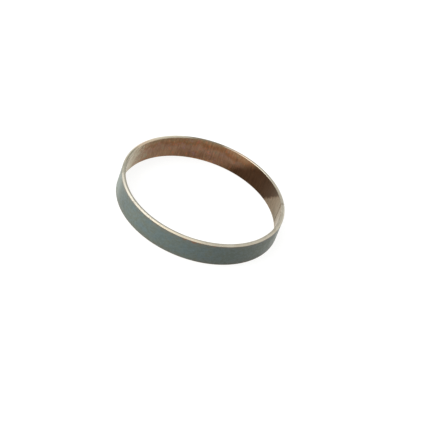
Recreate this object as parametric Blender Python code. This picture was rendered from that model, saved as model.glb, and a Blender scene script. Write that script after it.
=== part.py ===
"""Shock absorber piston ring: one bonded strip, rolled to a ring with a butt joint.

The strip is a bronze-faced backing with a grey sliding layer on its outer side.
All four edges are chamfered, the outer ones deeper, so bare bronze shows there.

Units are metres, with +Z up. The origin is on the ring's axis, in the plane of its
lower edge. Run with: blender --background --python part.py
"""

import math

import bmesh
import bpy
from mathutils import Vector

# Driving dimensions, in metres
OUTSIDE_DIAMETER = 0.0500
WALL = 0.0011
WIDTH = 0.0076

# Chamfers: depth is measured through the wall, length along the ring's axis
OUTER_CHAMFER_DEPTH = 0.00045
OUTER_CHAMFER_LENGTH = 0.00035
INNER_CHAMFER_DEPTH = 0.00015
INNER_CHAMFER_LENGTH = 0.00015

# Butt joint: its opening along the outside, and where it stands round the axis from +X
JOINT_GAP = 0.0003
JOINT_BEARING = math.radians(17.0)

# Facets round the whole ring, and the angle past which an edge is shaded sharp
FACETS = 240
SHARP_ANGLE = math.radians(20.0)

# Finishes: base colour, metallic, roughness
FINISHES = {
    "sliding_layer": ((0.13, 0.15, 0.14, 1.0), 0.0, 0.55),
    "copper_bore": ((0.30, 0.16, 0.09, 1.0), 1.0, 0.35),
    "bare_bronze": ((0.72, 0.62, 0.50, 1.0), 1.0, 0.30),
}


def clear_scene():
    """Remove every object that the scene holds."""
    for obj in list(bpy.data.objects):
        bpy.data.objects.remove(obj, do_unlink=True)


def make_material(name):
    """Return a Principled material for one of the ring's finishes."""
    colour, metallic, roughness = FINISHES[name]
    material = bpy.data.materials.new(name)
    material.use_nodes = True
    material.diffuse_color = colour
    shader = material.node_tree.nodes["Principled BSDF"]
    shader.inputs["Base Color"].default_value = colour
    shader.inputs["Metallic"].default_value = metallic
    shader.inputs["Roughness"].default_value = roughness
    return material


def strip_section():
    """Return the strip's cross section as (radius, height) points, counter-clockwise."""
    outside = OUTSIDE_DIAMETER / 2
    inside = outside - WALL
    return [
        (outside - OUTER_CHAMFER_DEPTH, 0.0),
        (outside, OUTER_CHAMFER_LENGTH),
        (outside, WIDTH - OUTER_CHAMFER_LENGTH),
        (outside - OUTER_CHAMFER_DEPTH, WIDTH),
        (inside + INNER_CHAMFER_DEPTH, WIDTH),
        (inside, WIDTH - INNER_CHAMFER_LENGTH),
        (inside, INNER_CHAMFER_LENGTH),
        (inside + INNER_CHAMFER_DEPTH, 0.0),
    ]


def roll_strip(mesh_data):
    """Turn the section about +Z from one end of the joint to the other, and cap both ends."""
    gap_angle = JOINT_GAP / (OUTSIDE_DIAMETER / 2)
    start = JOINT_BEARING + gap_angle / 2
    section = bmesh.new()
    corners = [
        section.verts.new((radius * math.cos(start), radius * math.sin(start), height))
        for radius, height in strip_section()
    ]
    outline = [
        section.edges.new((corner, corners[(index + 1) % len(corners)]))
        for index, corner in enumerate(corners)
    ]
    bmesh.ops.spin(
        section,
        geom=corners + outline,
        cent=Vector((0.0, 0.0, 0.0)),
        axis=Vector((0.0, 0.0, 1.0)),
        angle=math.tau - gap_angle,
        steps=FACETS,
        use_merge=False,
        use_duplicate=False,
    )
    bmesh.ops.holes_fill(section, edges=section.edges[:], sides=len(corners))
    bmesh.ops.recalc_face_normals(section, faces=section.faces[:])
    section.to_mesh(mesh_data)
    section.free()


def finish_index(polygon):
    """Say which finish a face has: 0 on the outer wall, 1 in the bore, 2 where metal is cut."""
    across = Vector((polygon.center.x, polygon.center.y, 0.0)).normalized()
    facing = polygon.normal.dot(across)
    if facing > math.cos(SHARP_ANGLE):
        return 0
    if facing < -math.cos(SHARP_ANGLE):
        return 1
    return 2


def make_piston_ring():
    """Build the ring as one closed solid, with a finish for each of its surfaces."""
    mesh_data = bpy.data.meshes.new("piston_ring")
    roll_strip(mesh_data)
    for name in FINISHES:
        mesh_data.materials.append(make_material(name))
    for polygon in mesh_data.polygons:
        polygon.material_index = finish_index(polygon)
    mesh_data.shade_smooth()
    mesh_data.set_sharp_from_angle(angle=SHARP_ANGLE)
    ring = bpy.data.objects.new("piston_ring", mesh_data)
    bpy.context.scene.collection.objects.link(ring)
    return ring


def main():
    """Model the whole part in an emptied scene."""
    clear_scene()
    make_piston_ring()


main()
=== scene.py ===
"""Studio scene of a shock absorber piston ring.

The ring is one bonded strip, rolled to a circle: a copper-coloured backing, a grey
sliding layer on its outer side, and four chamfered edges where bare bronze shows.

Finishes read places in millimetres and bearings in degrees. Shapes and depths are in
metres, and their angles in radians.
"""

import logging
import math
from dataclasses import dataclass, field
from enum import Enum

import bpy
import numpy as np
from mathutils import Matrix, Vector, noise


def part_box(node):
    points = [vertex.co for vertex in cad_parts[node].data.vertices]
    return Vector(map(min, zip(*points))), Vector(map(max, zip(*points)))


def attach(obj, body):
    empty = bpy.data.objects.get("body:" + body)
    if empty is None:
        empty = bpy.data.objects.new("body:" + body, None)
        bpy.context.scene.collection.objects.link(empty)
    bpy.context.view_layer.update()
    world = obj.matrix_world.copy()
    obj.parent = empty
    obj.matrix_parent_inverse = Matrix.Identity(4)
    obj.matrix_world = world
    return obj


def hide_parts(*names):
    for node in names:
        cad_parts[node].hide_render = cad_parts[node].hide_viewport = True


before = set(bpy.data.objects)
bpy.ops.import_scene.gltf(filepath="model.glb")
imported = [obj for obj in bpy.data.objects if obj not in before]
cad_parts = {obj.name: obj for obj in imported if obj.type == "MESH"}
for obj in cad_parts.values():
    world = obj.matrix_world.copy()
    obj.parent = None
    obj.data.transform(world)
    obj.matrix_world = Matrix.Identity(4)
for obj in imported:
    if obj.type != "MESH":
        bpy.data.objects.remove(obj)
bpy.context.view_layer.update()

LOG = logging.getLogger("piston_ring")
MM = 0.001
NODE = "piston_ring"
NOISE_LOW = 0.3
NOISE_HIGH = 0.7

Socket = bpy.types.NodeSocket
Triple = tuple[float, float, float]
Colour = Triple
Feed = Socket | float | Triple


class Surface(Enum):
    """The ring's surfaces, in the order of its material slots."""

    SLIDING = 0
    CHAMFER = 1
    EDGE = 2
    BORE = 3
    JOINT = 4


@dataclass(frozen=True)
class Grain:
    """Cloudy noise: clouds for each millimetre, their stretch, and how strong their finer layers are."""

    scale: float
    stretch: Triple = (1.0, 1.0, 1.0)
    detail: float = 3.0
    rough: float = 0.55


@dataclass(frozen=True)
class Fade:
    """A soft change: while one number goes from low to high, another goes from start to end."""

    low: float
    high: float
    start: float = 0.0
    end: float = 1.0


@dataclass(frozen=True)
class LeaningEdge:
    """An edge across the strip: how far back its upper end lies, and its bearings at the strip's foot."""

    lean: float
    fade: Fade


@dataclass(frozen=True)
class ToneStretch:
    """A stretch of the ring with another tone, real staining in most places and painted highlight and sheen
    in some: its bearing, half its length and its soft ends in degrees.
    """

    bearing: float
    reach: float
    tone: Colour
    amount: float = 0.85
    soft: float = 5.0


def over_noise(start: float, end: float) -> Fade:
    """Return a fade from start to end over the range in which cloudy noise mostly lies."""
    return Fade(NOISE_LOW, NOISE_HIGH, start, end)


def swing(reach: float) -> Fade:
    """Return a fade that turns cloudy noise into a shift of up to reach to either side."""
    return over_noise(-reach, reach)


class Graph:
    """A node tree, with short calls for the nodes that the finishes and the studio share.

    A Mix node keeps its share and its two numbers at NUMBER_INPUTS, its share and its two
    colours at COLOUR_INPUTS, and the mixed colour at MIXED_COLOUR.
    """

    NUMBER_INPUTS = (0, 2, 3)
    COLOUR_INPUTS = (0, 6, 7)
    MIXED_COLOUR = 2
    HALF_TURN = 180.0
    WAVERING_SHARE = 0.6

    def __init__(self, owner: bpy.types.Material | bpy.types.World, shader: str = "Principled BSDF") -> None:
        """Open the nodes of a new material or world.

        Args:
            owner: the material or the world.
            shader: the name of the shader node that it starts with.
        """
        owner.use_nodes = True
        self.owner = owner
        self.tree = owner.node_tree
        self.shader = self.tree.nodes[shader]

    def feed(self, socket: Socket, value: Feed) -> None:
        """Link a socket to another, or set its value.

        Args:
            socket: the input to fill.
            value: an output socket, a number, or a colour or vector of three numbers.
        """
        if isinstance(value, Socket):
            self.tree.links.new(value, socket)
        elif isinstance(value, tuple) and socket.type == "RGBA":
            socket.default_value = (*value, 1.0)
        else:
            socket.default_value = value

    def shade(self, values: dict[str, Feed]) -> None:
        """Fill inputs of the shader.

        Args:
            values: what goes into each input, by the input's name.
        """
        for name, value in values.items():
            self.feed(self.shader.inputs[name], value)

    def add(self, kind: str, **settings: object) -> bpy.types.Node:
        """Add a node and set its properties.

        Args:
            kind: the node's type.
            settings: property names and values.

        Returns:
            The new node.
        """
        node = self.tree.nodes.new(kind)
        for name, value in settings.items():
            setattr(node, name, value)
        return node

    def math(self, operation: str, first: Feed, second: Feed = 0.0) -> Socket:
        """Do one sum on one or two numbers.

        Args:
            operation: the Math node's operation.
            first: its first number.
            second: its second number, where it has one.

        Returns:
            The result's socket.
        """
        node = self.add("ShaderNodeMath", operation=operation)
        self.feed(node.inputs[0], first)
        self.feed(node.inputs[1], second)
        return node.outputs[0]

    def times(self, first: Feed, second: Feed) -> Socket:
        """Return two numbers multiplied."""
        return self.math("MULTIPLY", first, second)

    def plus(self, first: Feed, second: Feed) -> Socket:
        """Return two numbers added."""
        return self.math("ADD", first, second)

    def less(self, first: Feed, second: Feed) -> Socket:
        """Return the first number less the second."""
        return self.math("SUBTRACT", first, second)

    def between(self, value: Feed, fade: Fade) -> Socket:
        """Let one number follow another softly.

        Args:
            value: the number to follow.
            fade: how the other follows it.

        Returns:
            The other number's socket.
        """
        node = self.add("ShaderNodeMapRange", interpolation_type="SMOOTHSTEP")
        for index, item in enumerate((value, fade.low, fade.high, fade.start, fade.end)):
            self.feed(node.inputs[index], item)
        return node.outputs[0]

    def mix(self, share: Feed, first: Feed, second: Feed, how: str = "MIX") -> Socket:
        """Mix two colours.

        Args:
            share: how much of the second shows.
            first: the first colour.
            second: the second colour.
            how: the blend mode.

        Returns:
            The mixed colour's socket.
        """
        node = self.add("ShaderNodeMix", data_type="RGBA", blend_type=how)
        for index, value in zip(self.COLOUR_INPUTS, (share, first, second), strict=True):
            self.feed(node.inputs[index], value)
        return node.outputs[self.MIXED_COLOUR]

    def mix_numbers(self, share: Feed, first: Feed, second: Feed) -> Socket:
        """Mix two numbers.

        Args:
            share: how much of the second counts.
            first: the first number.
            second: the second number.

        Returns:
            The mixed number's socket.
        """
        node = self.add("ShaderNodeMix", data_type="FLOAT")
        for index, value in zip(self.NUMBER_INPUTS, (share, first, second), strict=True):
            self.feed(node.inputs[index], value)
        return node.outputs[0]

    def multiplied(self, colour: Feed, by: Feed) -> Socket:
        """Return a colour multiplied by a number."""
        return self.mix(1.0, colour, by, "MULTIPLY")

    def place(self) -> Socket:
        """Read the point on the ring.

        Returns:
            The point, in millimetres from the centre of the ring's lower edge.
        """
        coordinates = self.add("ShaderNodeTexCoord")
        node = self.add("ShaderNodeVectorMath", operation="SCALE")
        self.feed(node.inputs[0], coordinates.outputs["Object"])
        self.feed(node.inputs["Scale"], 1.0 / MM)
        return node.outputs[0]

    def axes(self, place: Socket) -> tuple[Socket, Socket, Socket]:
        """Split a point.

        Args:
            place: the point.

        Returns:
            Its x, y and z.
        """
        node = self.add("ShaderNodeSeparateXYZ")
        self.feed(node.inputs[0], place)
        return node.outputs[0], node.outputs[1], node.outputs[2]

    def bearing(self, place: Socket) -> Socket:
        """Return the bearing of a point round the ring's axis, in degrees from +X."""
        across, away, _ = self.axes(place)
        return self.math("DEGREES", self.math("ARCTAN2", away, across))

    def grain(self, place: Socket, grain: Grain) -> Socket:
        """Read cloudy noise at a point.

        Args:
            place: the point, in millimetres.
            grain: the noise.

        Returns:
            Its value, from 0 to 1.
        """
        stretched = self.add("ShaderNodeVectorMath", operation="MULTIPLY")
        self.feed(stretched.inputs[0], place)
        self.feed(stretched.inputs[1], grain.stretch)
        node = self.add("ShaderNodeTexNoise")
        self.feed(node.inputs["Vector"], stretched.outputs[0])
        self.feed(node.inputs["Scale"], grain.scale)
        self.feed(node.inputs["Detail"], grain.detail)
        self.feed(node.inputs["Roughness"], grain.rough)
        return node.outputs[0]

    def stretch_share(self, bearing: Socket, waver: Socket, tone_stretch: ToneStretch) -> Socket:
        """Work out how much of a stretch of another tone shows at a bearing.

        Args:
            bearing: the point's bearing, in degrees.
            waver: noise that keeps the stretch's ends from being straight.
            tone_stretch: the stretch of another tone.

        Returns:
            Its share, from 0 to 1.
        """
        off = self.math("PINGPONG", self.less(bearing, tone_stretch.bearing), self.HALF_TURN)
        off = self.plus(off, self.between(waver, swing(self.WAVERING_SHARE * tone_stretch.soft)))
        ends = Fade(tone_stretch.reach - tone_stretch.soft, tone_stretch.reach + tone_stretch.soft, tone_stretch.amount, 0.0)
        return self.between(off, ends)

    def ramp(self, value: Feed, stops: tuple[tuple[float, Colour], ...]) -> Socket:
        """Read a colour from stops along 0 to 1.

        Args:
            value: where to read.
            stops: each stop's place and colour.

        Returns:
            The colour's socket.
        """
        node = self.add("ShaderNodeValToRGB")
        ramp = node.color_ramp
        ramp.interpolation = "EASE"
        while len(ramp.elements) < len(stops):
            ramp.elements.new(0.5)
        for element, (spot, colour) in zip(ramp.elements, stops, strict=True):
            element.position = spot
            element.color = (*colour, 1.0)
        self.feed(node.inputs[0], value)
        return node.outputs[0]

    def bump(self, height: Socket, distance: float) -> None:
        """Give the shader a bumped normal.

        Args:
            height: the height, from 0 to 1.
            distance: what a height of 1 stands for, in metres.
        """
        node = self.add("ShaderNodeBump")
        self.feed(node.inputs["Strength"], 1.0)
        self.feed(node.inputs["Distance"], distance)
        self.feed(node.inputs["Height"], height)
        self.shade({"Normal": node.outputs[0]})


OILED = ToneStretch(100.0, 13.0, (0.190, 0.145, 0.090), 0.92, 4.0)
HEATED = ToneStretch(74.0, 12.0, (0.50, 0.39, 0.29))
BROWNED = ToneStretch(125.0, 12.0, (0.46, 0.41, 0.32), 0.75)
PALE = ToneStretch(134.0, 13.0, (0.66, 0.60, 0.46), 0.85)
YELLOWED = ToneStretch(152.0, 13.0, (0.60, 0.46, 0.32), 0.75, 6.0)
GREYED = ToneStretch(40.0, 24.0, (0.34, 0.31, 0.25), 0.85, 8.0)
WIPED = ToneStretch(33.0, 10.0, (0.47, 0.42, 0.33), 0.85)
SATIN = ToneStretch(191.0, 7.0, (0.36, 0.345, 0.27), 0.90, 4.0)
# painted highlight on the upper chamfers, near the left
PAINTED_HIGHLIGHT = ToneStretch(217.0, 18.0, (0.80, 0.76, 0.64), 1.0, 10.0)
# dimmer stretch within the painted highlights, where the lamp's own highlight falls
HIGHLIGHT_DIP = ToneStretch(235.0, 10.0, (0.41, 0.38, 0.315), 0.90, 6.0)
# a warmer bronze tone, brightened into a painted highlight
BRASSY_HIGHLIGHT = ToneStretch(266.0, 16.0, (0.72, 0.645, 0.50), 1.0, 8.0)
DULLED = ToneStretch(174.0, 11.0, (0.27, 0.25, 0.18), 0.85)
SCUFFED = ToneStretch(230.0, 27.0, (0.34, 0.325, 0.275), 0.85, 8.0)
# chamfer tones, with painted highlights among them
CHAMFER_STAINS_AND_HIGHLIGHTS = (OILED, HEATED, BROWNED, YELLOWED, GREYED, SATIN, PAINTED_HIGHLIGHT, HIGHLIGHT_DIP, BRASSY_HIGHLIGHT)
FLAT_STAINS = (OILED, HEATED, YELLOWED, PALE, GREYED, WIPED, DULLED, SATIN, SCUFFED)
# tones of the outer wall, with painted sheen at both ends of the view
WALL_TONES_AND_SHEEN = (
    # painted sheen at the left end of the view
    ToneStretch(194.0, 11.0, (0.300, 0.320, 0.215), 0.36, 9.0),
    # a darker stretch on the left
    ToneStretch(214.0, 8.0, (0.078, 0.096, 0.070), 0.60, 7.0),
    ToneStretch(312.0, 13.0, (0.112, 0.150, 0.104), 0.60, 8.0),
    ToneStretch(336.0, 13.0, (0.096, 0.128, 0.068), 0.90, 7.0),
    # painted sheen at the right end of the view
    ToneStretch(355.0, 7.0, (0.235, 0.235, 0.125), 0.55, 6.0),
)


@dataclass(frozen=True)
class SlidingLayerFinish:
    """The grey bonded layer on the outer wall: matt, faintly mottled, worn through at its rims."""

    cool_grey: Colour = (0.118, 0.166, 0.160)
    plain_grey: Colour = (0.136, 0.165, 0.132)
    bluish: Colour = (0.108, 0.150, 0.160)
    warm_top: Colour = (0.162, 0.162, 0.122)
    olive_foot: Colour = (0.138, 0.146, 0.104)
    bronze_brown: Colour = (0.200, 0.112, 0.070)
    clouds: Grain = Grain(0.30, detail=5.0, rough=0.6)
    blots: Grain = Grain(1.1, stretch=(1.0, 1.0, 1.4))
    specks: Grain = Grain(9.0, detail=2.0, rough=0.7)
    freckles: Grain = Grain(5.0, detail=1.0)
    plain_share: Fade = Fade(0.38, 0.62)
    level_waver: Fade = swing(0.7)
    warm_share: Fade = Fade(5.6, 7.3, 0.0, 0.8)
    olive_share: Fade = Fade(0.5, 2.4, 0.8, 0.0)
    bluish_share: Fade = Fade(0.44, 0.60, 0.0, 0.42)
    freckle_share: Fade = Fade(0.66, 0.74, 0.0, 0.35)
    speck_shade: Fade = Fade(0.25, 0.8, 0.86, 1.14)
    blot_shade: Fade = Fade(0.32, 0.68, 0.87, 1.13)
    worn_metal: Fade = Fade(0.1, 0.9, 0.0, 0.75)
    roughness: Fade = over_noise(0.35, 0.47)
    grain_depth: float = 0.010 * MM
    tone_stretches: tuple[ToneStretch, ...] = WALL_TONES_AND_SHEEN

    def grey(self, graph: Graph, place: Socket, clouds: Socket) -> Socket:
        """Mix the layer's grey, with its tones and painted sheen, its warmer top and its olive foot.

        Args:
            graph: the finish's nodes.
            place: the point, in millimetres.
            clouds: broad noise.

        Returns:
            The colour's socket.
        """
        grey = graph.mix(graph.between(clouds, self.plain_share), self.cool_grey, self.plain_grey)
        bearing = graph.bearing(place)
        for tone_stretch in self.tone_stretches:
            grey = graph.mix(graph.stretch_share(bearing, clouds, tone_stretch), grey, tone_stretch.tone)
        level = graph.plus(graph.axes(place)[2], graph.between(clouds, self.level_waver))
        grey = graph.mix(graph.between(level, self.warm_share), grey, self.warm_top)
        return graph.mix(graph.between(level, self.olive_share), grey, self.olive_foot)

    def build(self) -> bpy.types.Material:
        """Make the layer's material.

        Returns:
            The material.
        """
        graph = Graph(bpy.data.materials.new("sliding_layer"))
        place = graph.place()
        clouds = graph.grain(place, self.clouds)
        blots = graph.grain(place, self.blots)
        specks = graph.grain(place, self.specks)
        freckles = graph.grain(place, self.freckles)
        worn = graph.add("ShaderNodeAttribute", attribute_name="worn").outputs["Fac"]
        shade = graph.times(
            graph.between(specks, self.speck_shade), graph.between(blots, self.blot_shade)
        )
        grey = self.grey(graph, place, clouds)
        grey = graph.mix(graph.between(blots, self.bluish_share), grey, self.bluish)
        grey = graph.multiplied(grey, shade)
        grey = graph.mix(graph.between(freckles, self.freckle_share), grey, self.bronze_brown)
        graph.shade({
            "Base Color": graph.mix(worn, grey, self.bronze_brown),
            "Metallic": graph.between(worn, self.worn_metal),
            "Roughness": graph.between(clouds, self.roughness),
        })
        graph.bump(specks, self.grain_depth)
        return graph.owner


@dataclass(frozen=True)
class CopperBoreFinish:
    """The inner wall: copper with a tarnish in faint level bands, with fine streaks along the axis, painted
    sheen at the ends of the view and a painted dark reflection.

    It takes the strip's width, in millimetres.
    """

    width: float
    orange_foot: Colour = (0.270, 0.130, 0.060)
    dusky: Colour = (0.160, 0.084, 0.047)
    pinkish: Colour = (0.198, 0.112, 0.070)
    reddish: Colour = (0.172, 0.080, 0.036)
    tan_top: Colour = (0.220, 0.130, 0.068)
    rust: Colour = (0.300, 0.100, 0.045)
    greenish: Colour = (0.150, 0.122, 0.070)
    violet: Colour = (0.195, 0.110, 0.100)
    umber: Colour = (0.115, 0.075, 0.042)
    straw: Colour = (0.360, 0.225, 0.130)
    # dark tone of the real scores, and of the painted reflection of dark things beside the ring
    dark_tarnish_and_reflection: Colour = (0.047, 0.022, 0.010)
    # painted sheen: paler and greyer tones where the bore is seen at a grazing angle, at both ends of the
    # view
    pale_sheen: Colour = (0.390, 0.358, 0.264)
    smoky_sheen: Colour = (0.225, 0.172, 0.118)
    edge_tint: Colour = (0.97, 0.94, 0.85)
    clouds: Grain = Grain(0.32, (1.0, 1.0, 0.6), detail=5.0, rough=0.6)
    patches: Grain = Grain(0.60, (1.0, 1.0, 1.3), detail=4.0, rough=0.65)
    flecks: Grain = Grain(1.25, (1.0, 1.0, 0.7), detail=3.0, rough=0.55)
    streaks: Grain = Grain(2.5, (1.0, 1.0, 0.12), detail=4.0, rough=0.65)
    scores: Grain = Grain(1.9, (1.0, 1.0, 0.16), detail=2.0)
    band_levels: tuple[float, ...] = (0.00, 0.07, 0.28, 0.52, 0.73, 0.92)
    band_waver: Fade = swing(0.11)
    dark_side: Fade = Fade(-10.0, -5.0, 0.45, 0.0)
    dark_height: Fade = Fade(5.6, 6.8)
    pale_side: Fade = Fade(-17.0, -9.0, 0.3, 0.0)
    pale_height: Fade = Fade(1.6, 4.2, 1.0, 0.0)
    glint: ToneStretch = ToneStretch(75.0, 7.0, (0.340, 0.190, 0.100), 0.35)
    glint_height: Fade = Fade(4.6, 6.4)
    bared: ToneStretch = ToneStretch(136.0, 15.0, (0.600, 0.520, 0.390), 0.60)
    bared_height: Fade = Fade(7.1, 7.4)
    # a darker patch low on the bore's right end
    dark_foot_patch: ToneStretch = ToneStretch(21.0, 6.0, (0.120, 0.086, 0.052), 0.60, 4.0)
    dark_foot_height: Fade = Fade(1.0, 4.5, 1.0, 0.0)
    greenish_share: Fade = Fade(0.54, 0.68, 0.0, 0.65)
    violet_share: Fade = Fade(0.30, 0.44, 0.70, 0.0)
    rust_share: Fade = Fade(0.54, 0.76, 0.0, 0.75)
    tan_share: Fade = Fade(0.26, 0.44, 0.60, 0.0)
    # waver, side and stretch of the painted sheen
    sheen_waver: Fade = swing(1.6)
    pale_sheen_side: Fade = Fade(20.0, 25.0, 0.0, 0.85)
    smoky_sheen_stretch: Fade = Fade(-80.0, 0.0, 0.0, 0.85)
    edge_waver: Fade = swing(0.9)
    # leaning edges of the painted dark reflection, a dark stretch that stands for dark things mirrored in
    # the bore
    dark_reflection_start: LeaningEdge = LeaningEdge(18.0, Fade(41.5, 45.0))
    dark_reflection_end: LeaningEdge = LeaningEdge(26.0, Fade(78.0, 91.0))
    dark_reflection_amount: float = 0.94
    score_share: Fade = Fade(0.34, 0.48, 0.26, 0.0)
    scored_clouds: Fade = Fade(0.40, 0.60)
    streak_shade: Fade = Fade(0.28, 0.72, 0.78, 1.22)
    roughness: Fade = over_noise(0.14, 0.25)
    grain_depth: float = 0.005 * MM

    def banded(self, graph: Graph, place: Socket, clouds: Socket) -> Socket:
        """Lay the level bands, darker high on one side and paler low on it.

        Args:
            graph: the finish's nodes.
            place: the point, in millimetres.
            clouds: broad noise that wavers the bands.

        Returns:
            The colour's socket.
        """
        across, _, up = graph.axes(place)
        rise = graph.math("DIVIDE", up, self.width)
        level = graph.plus(rise, graph.between(clouds, self.band_waver))
        tones = (self.orange_foot, self.dusky, self.dusky, self.pinkish, self.reddish, self.tan_top)
        copper = graph.ramp(level, tuple(zip(self.band_levels, tones, strict=True)))
        for side, height, tone in (
            (self.dark_side, self.dark_height, self.umber),
            (self.pale_side, self.pale_height, self.straw),
        ):
            share = graph.times(graph.between(across, side), graph.between(up, height))
            copper = graph.mix(share, copper, tone)
        bearing = graph.bearing(place)
        for tone_stretch, height in ((self.glint, self.glint_height), (self.bared, self.bared_height)):
            share = graph.times(graph.stretch_share(bearing, clouds, tone_stretch), graph.between(up, height))
            copper = graph.mix(share, copper, tone_stretch.tone)
        return copper

    def mottled(self, graph: Graph, copper: Socket, patches: Socket, flecks: Socket) -> Socket:
        """Break the bands up with greenish and violet patches, rust and tan flecks.

        Args:
            graph: the finish's nodes.
            copper: the banded colour.
            patches: noise for the patches.
            flecks: noise for the flecks.

        Returns:
            The colour's socket.
        """
        for source, share, tone in (
            (patches, self.greenish_share, self.greenish),
            (patches, self.violet_share, self.violet),
            (flecks, self.rust_share, self.rust),
            (flecks, self.tan_share, self.tan_top),
        ):
            copper = graph.mix(graph.between(source, share), copper, tone)
        return copper

    def past(self, graph: Graph, place: Socket, waver: Socket, edge: LeaningEdge) -> Socket:
        """Say how far a point is past an edge that leans across the strip.

        Args:
            graph: the finish's nodes.
            place: the point, in millimetres.
            waver: noise that keeps the edge from being straight.
            edge: the edge.

        Returns:
            A share from 0, before the edge, to 1.
        """
        wobble = graph.between(waver, self.edge_waver)
        bearing = graph.plus(graph.bearing(place), wobble)
        leaning = graph.times(graph.axes(place)[2], edge.lean / self.width)
        return graph.between(graph.plus(bearing, leaning), edge.fade)

    def with_sheen_and_reflection(
        self, graph: Graph, place: Socket, copper: Socket, patches: Socket, flecks: Socket
    ) -> Socket:
        """Add painted sheen at both ends of the view, and the painted dark reflection with its leaning
        edges.

        Args:
            graph: the finish's nodes.
            place: the point, in millimetres.
            copper: the mottled colour.
            patches: noise that wavers the painted sheen.
            flecks: noise that wavers the edges of the painted dark reflection.

        Returns:
            The colour's socket.
        """
        across, _, up = graph.axes(place)
        bearing = graph.bearing(place)
        # painted sheen at the left end of the view
        leftward = graph.plus(graph.less(0.0, across), graph.between(patches, self.sheen_waver))
        copper = graph.mix(graph.between(leftward, self.pale_sheen_side), copper, self.pale_sheen)
        starts = self.past(graph, place, flecks, self.dark_reflection_start)
        ends = self.past(graph, place, flecks, self.dark_reflection_end)
        # painted sheen at the right end of the view, up to the painted dark reflection
        smoky_sheen_share = graph.times(graph.less(1.0, starts), graph.between(bearing, self.smoky_sheen_stretch))
        copper = graph.mix(smoky_sheen_share, copper, self.smoky_sheen)
        # darker patch low on the bore's right end
        dark_foot_patch = graph.stretch_share(bearing, patches, self.dark_foot_patch)
        dark_foot_patch = graph.times(dark_foot_patch, graph.between(up, self.dark_foot_height))
        copper = graph.mix(dark_foot_patch, copper, self.dark_foot_patch.tone)
        # painted reflection: the dark stretch between the leaning edges
        dark = graph.times(graph.times(starts, graph.less(1.0, ends)), self.dark_reflection_amount)
        return graph.mix(dark, copper, self.dark_tarnish_and_reflection)

    def build(self) -> bpy.types.Material:
        """Make the bore's material.

        Returns:
            The material.
        """
        graph = Graph(bpy.data.materials.new("copper_bore"))
        place = graph.place()
        clouds = graph.grain(place, self.clouds)
        patches = graph.grain(place, self.patches)
        flecks = graph.grain(place, self.flecks)
        streaks = graph.grain(place, self.streaks)
        scores = graph.grain(place, self.scores)
        copper = self.mottled(graph, self.banded(graph, place, clouds), patches, flecks)
        copper = self.with_sheen_and_reflection(graph, place, copper, patches, flecks)
        scored = graph.times(
            graph.between(scores, self.score_share), graph.between(clouds, self.scored_clouds)
        )
        copper = graph.mix(scored, copper, self.dark_tarnish_and_reflection)
        graph.shade({
            "Metallic": 1.0,
            "Specular Tint": self.edge_tint,
            "Base Color": graph.multiplied(copper, graph.between(streaks, self.streak_shade)),
            "Roughness": graph.between(streaks, self.roughness),
        })
        graph.bump(streaks, self.grain_depth)
        return graph.owner


@dataclass(frozen=True)
class CutMetalFinish:
    """Bronze bared by a tool, with fine lines that run round the ring."""

    name: str
    bright: Colour
    dull: Colour
    roughness: Fade
    tone_stretches: tuple[ToneStretch, ...] = ()
    lines: Grain = Grain(18.0, detail=2.0)
    clouds: Grain = Grain(0.35, detail=5.0, rough=0.6)
    dull_share: Fade = Fade(0.35, 0.68)
    toned_height: Fade = Fade(3.0, 4.6)
    line_shade: Fade = over_noise(0.94, 1.05)
    line_depth: float = 0.004 * MM

    def turned(self, graph: Graph, place: Socket) -> Socket:
        """Read the noise of a turning tool, which is the same all round the ring.

        Args:
            graph: the finish's nodes.
            place: the point, in millimetres.

        Returns:
            The noise's socket.
        """
        across, away, up = graph.axes(place)
        squares = graph.plus(graph.times(across, across), graph.times(away, away))
        section = graph.add("ShaderNodeCombineXYZ")
        graph.feed(section.inputs[0], graph.math("SQRT", squares))
        graph.feed(section.inputs[1], up)
        return graph.grain(section.outputs[0], self.lines)

    def build(self) -> bpy.types.Material:
        """Make the material of the chamfers, the flat edges or the joint's ends.

        Returns:
            The material.
        """
        graph = Graph(bpy.data.materials.new(self.name))
        place = graph.place()
        lines = self.turned(graph, place)
        clouds = graph.grain(place, self.clouds)
        metal = graph.mix(graph.between(clouds, self.dull_share), self.bright, self.dull)
        bearing = graph.bearing(place)
        upper = graph.between(graph.axes(place)[2], self.toned_height)
        for tone_stretch in self.tone_stretches:
            share = graph.times(upper, graph.stretch_share(bearing, clouds, tone_stretch))
            metal = graph.mix(share, metal, tone_stretch.tone)
        graph.shade({
            "Metallic": 1.0,
            "Base Color": graph.multiplied(metal, graph.between(lines, self.line_shade)),
            "Roughness": graph.between(clouds, self.roughness),
        })
        graph.bump(lines, self.line_depth)
        return graph.owner


BRIGHT_CHAMFER = CutMetalFinish(
    name="bright_chamfer",
    bright=(0.56, 0.52, 0.42),
    dull=(0.48, 0.43, 0.33),
    roughness=over_noise(0.24, 0.36),
    tone_stretches=CHAMFER_STAINS_AND_HIGHLIGHTS,
)
SHEARED_EDGE = CutMetalFinish(
    name="sheared_edge",
    bright=(0.46, 0.43, 0.35),
    dull=(0.36, 0.33, 0.26),
    roughness=over_noise(0.30, 0.42),
    tone_stretches=FLAT_STAINS,
)
JOINT_END = CutMetalFinish(
    name="joint_end",
    bright=(0.50, 0.42, 0.33),
    dull=(0.36, 0.29, 0.22),
    roughness=over_noise(0.35, 0.50),
)


@dataclass(frozen=True)
class Chip:
    """A place where the sliding layer has flaked from the strip's edge."""

    bearing: float
    width: float
    depth: float
    upper: bool = True


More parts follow.
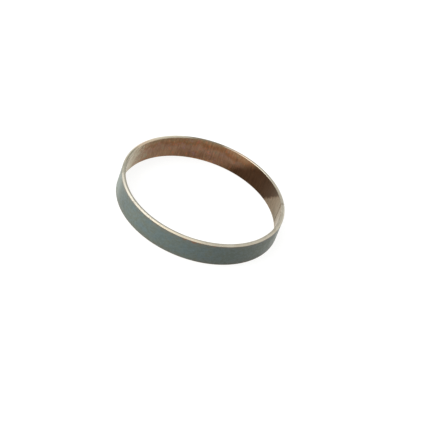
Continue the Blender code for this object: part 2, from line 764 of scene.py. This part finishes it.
CHIPS = (
    Chip(math.radians(270.6), 1.5 * MM, 0.50 * MM),
    Chip(math.radians(277.0), 2.1 * MM, 0.66 * MM),
    Chip(math.radians(281.0), 0.9 * MM, 0.40 * MM),
    Chip(math.radians(291.0), 1.2 * MM, 0.35 * MM),
    Chip(math.radians(247.0), 0.8 * MM, 0.22 * MM),
    Chip(math.radians(46.0), 1.4 * MM, 0.40 * MM),
    Chip(math.radians(131.0), 1.0 * MM, 0.30 * MM, upper=False),
    Chip(math.radians(318.0), 1.1 * MM, 0.28 * MM, upper=False),
)


@dataclass(frozen=True)
class Wear:
    """How the sliding layer frays: a ragged fringe at both rims, and chips."""

    fringe_depth: float = 0.10 * MM
    fringe_soft: float = 0.06 * MM
    fringe_plain: float = 0.9
    fringe_ragged: float = 0.9
    fringe_broad: float = 0.8
    ragged_size: float = 0.5 * MM
    broad_size: float = 2.6 * MM
    chip_soft: float = 0.10 * MM
    chip_ragged: float = 0.5
    chip_reach: float = 1.6
    chips: tuple[Chip, ...] = CHIPS

    def share(self, spot: Vector, bearing: float, radius: float, insets: tuple[float, float]) -> float:
        """Say how much of the layer is gone at a point of the outer wall.

        Args:
            spot: the point.
            bearing: its bearing round the axis.
            radius: its distance from the axis.
            insets: how far it lies below the layer's upper rim and above its lower one.

        Returns:
            A share from 0, whole, to 1, gone.
        """
        ragged = noise.noise(spot / self.ragged_size)
        broad = noise.noise(spot / self.broad_size)
        below_top, above_foot = insets
        gone = 0.0
        for chip in self.chips:
            inset = below_top if chip.upper else above_foot
            off = math.remainder(bearing - chip.bearing, math.tau) * radius / (chip.width / 2)
            if abs(off) < self.chip_reach:
                limit = chip.depth * (1.0 - off * off) * (1.0 + self.chip_ragged * ragged)
                gone = max(gone, (limit - inset) / self.chip_soft + 0.5)
        unevenness = self.fringe_plain + self.fringe_ragged * ragged + self.fringe_broad * broad
        fringe = self.fringe_depth * unevenness
        gone = max(gone, (fringe - min(insets)) / self.fringe_soft)
        return min(1.0, max(0.0, gone))


@dataclass
class RolledBand:
    """The ring: one strip with chamfered edges, rolled until its ends nearly meet."""

    outside: float
    low: float
    high: float
    wall: float = 1.1 * MM
    outer_chamfer_depth: float = 0.45 * MM
    outer_chamfer_length: float = 0.35 * MM
    inner_chamfer: float = 0.15 * MM
    joint_gap: float = 0.3 * MM
    joint_bearing: float = math.radians(17.0)
    corner_radius: float = 0.04 * MM
    corner_steps: int = 3
    fewest_steps: int = 2
    end_round: float = 0.04 * MM
    end_rounding: tuple[tuple[float, float], ...] = ((0.0, 1.0), (0.3, 0.3), (1.0, 0.0))
    steps_round: int = 720
    layer_step: float = 0.015 * MM
    wall_margin: float = 0.2
    sharp_angle: float = math.radians(40.0)
    wear: Wear = Wear()
    spacing: dict[Surface, float] = field(
        default_factory=lambda: {
            Surface.SLIDING: 0.16 * MM,
            Surface.CHAMFER: 0.12 * MM,
            Surface.EDGE: 0.12 * MM,
            Surface.BORE: 0.50 * MM,
        }
    )

    def corners(self) -> list[tuple[Vector, Surface]]:
        """List the section's corners.

        Returns:
            Each corner as (radius, height), with the surface that follows it.
        """
        inside = self.outside - self.wall
        depth, length, edge = self.outer_chamfer_depth, self.outer_chamfer_length, self.inner_chamfer
        return [
            (Vector((self.outside - depth, self.low)), Surface.CHAMFER),
            (Vector((self.outside, self.low + length)), Surface.SLIDING),
            (Vector((self.outside, self.high - length)), Surface.CHAMFER),
            (Vector((self.outside - depth, self.high)), Surface.EDGE),
            (Vector((inside + edge, self.high)), Surface.CHAMFER),
            (Vector((inside, self.high - edge)), Surface.BORE),
            (Vector((inside, self.low + edge)), Surface.CHAMFER),
            (Vector((inside + edge, self.low)), Surface.EDGE),
        ]

    def rounding_length(self, before: Vector, after: Vector) -> float:
        """Return how far from a corner, between sides with these directions, its rounding starts."""
        return self.corner_radius * math.tan(before.angle(after) / 2)

    def section(self) -> tuple[np.ndarray, np.ndarray, list[Surface]]:
        """Work out the strip's section, with its corners rounded and its sides in short steps.

        Returns:
            The points as (radius, height), their outward normals, and the surface of the
            stretch from each point to the next.
        """
        corners = self.corners()
        points: list[Vector] = []
        normals: list[Vector] = []
        surfaces: list[Surface] = []
        for index, (corner, surface) in enumerate(corners):
            previous, earlier = corners[index - 1]
            following, coming = (corners[(index + ahead) % len(corners)][0] for ahead in (1, 2))
            before = (corner - previous).normalized()
            after = (following - corner).normalized()
            beyond = (coming - following).normalized()
            outward = [Vector((side.y, -side.x)) for side in (before, after)]
            reach = self.rounding_length(before, after)
            centre = corner - before * reach - outward[0] * self.corner_radius
            for step in range(self.corner_steps + 1):
                share = step / self.corner_steps
                normal = outward[0].slerp(outward[1], share)
                points.append(centre + normal * self.corner_radius)
                normals.append(normal)
                surfaces.append(earlier if share < 0.5 and surface is not Surface.CHAMFER else surface)
            start = points[-1].copy()
            finish = following - after * self.rounding_length(after, beyond)
            steps = max(self.fewest_steps, round((finish - start).length / self.spacing[surface]))
            for step in range(1, steps):
                points.append(start.lerp(finish, step / steps))
                normals.append(outward[1])
                surfaces.append(surface)
        return np.array(points), np.array(normals), surfaces

    def turns(self) -> tuple[np.ndarray, np.ndarray]:
        """Work out the slices of the roll.

        Returns:
            Each slice's bearing, and how far its section is drawn in, to round the cut ends.
        """
        half_gap = self.joint_gap / self.outside / 2
        start = self.joint_bearing + half_gap
        finish = self.joint_bearing - half_gap + math.tau
        lead = self.end_round / self.outside
        rounding = self.end_rounding
        first = [(start + lead * share, self.end_round * drawn) for share, drawn in rounding]
        last = [(finish - lead * share, self.end_round * drawn) for share, drawn in reversed(rounding)]
        inner_start, inner_finish = first[-1][0], last[0][0]
        length = inner_finish - inner_start
        steps = self.steps_round
        middle = [(inner_start + length * step / steps, 0.0) for step in range(1, steps)]
        slices = np.array(first + middle + last)
        return slices[:, 0], slices[:, 1]

    def worn(self, points: np.ndarray, bearings: np.ndarray) -> np.ndarray:
        """Work out how much of the sliding layer is gone all over the ring.

        Args:
            points: the section's points.
            bearings: the slices' bearings.

        Returns:
            A share from 0, whole, to 1, gone, for each slice and point.
        """
        top = self.high - self.outer_chamfer_length
        foot = self.low + self.outer_chamfer_length
        gone = np.zeros((len(bearings), len(points)))
        outer = np.flatnonzero(points[:, 0] > self.outside - self.wall_margin * self.corner_radius)
        for row, bearing in enumerate(bearings.tolist()):
            x, y = self.outside * math.cos(bearing), self.outside * math.sin(bearing)
            for column in outer:
                height = float(points[column][1])
                insets = (top - height, height - foot)
                gone[row, column] = self.wear.share(Vector((x, y, height)), bearing, self.outside, insets)
        return gone

    def build(self) -> bpy.types.Object:
        """Make the ring's mesh, with each face given the material index of its surface.

        Returns:
            The ring, in place in the frame.
        """
        points, normals, surfaces = self.section()
        bearings, drawn = self.turns()
        rows, columns = len(bearings), len(points)
        flat = points[None, :, :] - normals[None, :, :] * drawn[:, None, None]
        worn = self.worn(points, bearings)
        radius = flat[:, :, 0] - worn * self.layer_step
        east, north = np.cos(bearings)[:, None], np.sin(bearings)[:, None]
        places = np.stack([radius * east, radius * north, flat[:, :, 1]], axis=2).reshape(-1, 3)
        faces, slots = [], []
        for row in range(rows - 1):
            here, there = row * columns, (row + 1) * columns
            for column in range(columns):
                beside = (column + 1) % columns
                faces.append((here + column, there + column, there + beside, here + beside))
                slots.append(surfaces[column].value)
        faces.append(tuple(range(columns)))
        faces.append(tuple(reversed(range((rows - 1) * columns, rows * columns))))
        slots += [Surface.JOINT.value] * 2
        mesh = bpy.data.meshes.new("rolled_band")
        mesh.from_pydata(places.tolist(), [], faces)
        wear = mesh.attributes.new("worn", "FLOAT", "POINT")
        wear.data.foreach_set("value", worn.ravel().astype(np.float32))
        mesh.polygons.foreach_set("material_index", slots)
        mesh.shade_smooth()
        mesh.set_sharp_from_angle(angle=self.sharp_angle)
        ring = bpy.data.objects.new("rolled_band", mesh)
        bpy.context.scene.collection.objects.link(ring)
        return ring

    def dress(self, ring: bpy.types.Object) -> None:
        """Give the ring its finishes, in the order of Surface.

        Args:
            ring: the ring that build made.
        """
        bore = CopperBoreFinish(width=(self.high - self.low) / MM)
        for finish in (SlidingLayerFinish(), BRIGHT_CHAMFER, SHEARED_EDGE, bore, JOINT_END):
            ring.data.materials.append(finish.build())


@dataclass(frozen=True)
class SoftSide:
    """A side from which the surround's light comes: its direction, and how bright it is there."""

    direction: Triple
    brightness: float


@dataclass
class Studio:
    """A pale floor, a white surround with two brighter sides, a soft lamp and the camera."""

    focal_length: float = 155.1
    sensor_width: float = 36.0
    clip_start: float = 0.01
    clip_end: float = 50.0
    elevation: float = math.radians(37.16)
    roll: float = math.radians(-21.15)
    distance: float = 568.4 * MM
    ring_right: float = -7.41 * MM
    ring_above: float = 4.11 * MM
    floor_side: float = 12.0
    floor_drop: float = 0.02 * MM
    floor_tone: Colour = (0.23, 0.23, 0.226)
    floor_roughness: float = 0.9
    floor_shine: float = 0.1
    floor_light: Colour = (1.0, 1.0, 0.995)
    floor_glow: float = 0.85
    surround_tone: Colour = (1.0, 1.0, 1.0)
    seen_brightness: float = 1.0
    fill: float = 0.06
    side_start: float = 0.15
    soft_sides: tuple[SoftSide, ...] = (
        SoftSide((-0.80, -0.44, 0.40), 1.60),
        SoftSide((0.25, 0.90, 0.36), 1.50),
    )
    lamp_place: Triple = (-0.95, -0.50, 0.70)
    lamp_side: float = 0.95
    lamp_power: float = 8.0

    def camera(self) -> None:
        """Stand the camera so that the ring's lower centre lies where it does in the picture."""
        data = bpy.data.cameras.new("camera")
        data.lens = self.focal_length
        data.sensor_width = self.sensor_width
        data.clip_start = self.clip_start
        data.clip_end = self.clip_end
        look = bpy.data.objects.new("camera", data)
        forward = Vector((0.0, math.cos(self.elevation), -math.sin(self.elevation)))
        level_right = Vector((1.0, 0.0, 0.0))
        level_up = level_right.cross(forward)
        turn = Matrix.Rotation(self.roll, 3, "Z")
        right = level_right * turn[0][0] + level_up * turn[0][1]
        up = level_right * turn[1][0] + level_up * turn[1][1]
        place = -(right * self.ring_right + up * self.ring_above + forward * self.distance)
        axes = Matrix((right, up, -forward)).transposed().to_4x4()
        look.matrix_world = Matrix.Translation(place) @ axes
        bpy.context.scene.collection.objects.link(look)
        bpy.context.scene.camera = look

    def surround(self) -> None:
        """Make the world: white where it is seen or mirrored, and as light softly brighter on two sides."""
        world = bpy.data.worlds.new("surround")
        bpy.context.scene.world = world
        graph = Graph(world, "Background")
        direction = graph.add("ShaderNodeTexCoord").outputs["Generated"]
        light: Feed = self.fill
        for side in self.soft_sides:
            facing = graph.add("ShaderNodeVectorMath", operation="DOT_PRODUCT")
            graph.feed(facing.inputs[0], direction)
            graph.feed(facing.inputs[1], tuple(Vector(side.direction).normalized()))
            lit = graph.between(facing.outputs["Value"], Fade(self.side_start, 1.0, 0.0, side.brightness))
            light = graph.plus(lit, light)
        strength = graph.mix_numbers(self.seen_or_mirrored(graph), light, self.seen_brightness)
        graph.shade({"Color": self.surround_tone, "Strength": strength})

    def seen_or_mirrored(self, graph: Graph) -> Socket:
        """Tell rays that show a thing from rays that gather its light.

        Args:
            graph: the nodes to add to.

        Returns:
            1 for a ray from the camera, a mirror or glass, and 0 for any other.
        """
        path = graph.add("ShaderNodeLightPath")
        shows = graph.math("MAXIMUM", path.outputs["Is Camera Ray"], path.outputs["Is Glossy Ray"])
        return graph.math("MAXIMUM", shows, path.outputs["Is Transmission Ray"])

    def floor(self) -> None:
        """Lay the pale floor, which shows white and keeps a faint shadow."""
        half = self.floor_side / 2
        corners = [(-half, -half), (half, -half), (half, half), (-half, half)]
        mesh = bpy.data.meshes.new("floor")
        mesh.from_pydata([(x, y, -self.floor_drop) for x, y in corners], [], [(0, 1, 2, 3)])
        floor = bpy.data.objects.new("floor", mesh)
        bpy.context.scene.collection.objects.link(floor)
        graph = Graph(bpy.data.materials.new("pale_floor"))
        graph.shade({
            "Base Color": self.floor_tone,
            "Roughness": self.floor_roughness,
            "Specular IOR Level": self.floor_shine,
            "Emission Color": self.floor_light,
            "Emission Strength": graph.times(self.seen_or_mirrored(graph), self.floor_glow),
        })
        mesh.materials.append(graph.owner)

    def lamp(self) -> None:
        """Hang the square soft lamp, facing the ring."""
        place = Vector(self.lamp_place)
        data = bpy.data.lights.new("key_lamp", "AREA")
        data.shape = "SQUARE"
        data.size = self.lamp_side
        data.energy = self.lamp_power
        lamp = bpy.data.objects.new("key_lamp", data)
        lamp.location = place
        lamp.rotation_mode = "QUATERNION"
        lamp.rotation_quaternion = (-place).to_track_quat("-Z", "Y")
        bpy.context.scene.collection.objects.link(lamp)

    def build(self) -> None:
        """Set the stage, the lamp and the camera."""
        bpy.context.scene.view_settings.view_transform = "Standard"
        self.camera()
        self.surround()
        self.floor()
        self.lamp()


def main() -> None:
    """Build the ring and the studio, and log each piece."""
    logging.basicConfig(level=logging.INFO, format="%(message)s")
    low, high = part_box(NODE)
    band = RolledBand(outside=(high.x - low.x) / 2, low=low.z, high=high.z)
    ring = band.build()
    band.dress(ring)
    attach(ring, "root")
    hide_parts(NODE)
    LOG.info("%s: %d faces, %.1f mm across", ring.name, len(ring.data.polygons), 2 * band.outside / MM)
    Studio().build()
    LOG.info("studio: floor, surround, lamp and camera")


if __name__ == "__main__":
    main()
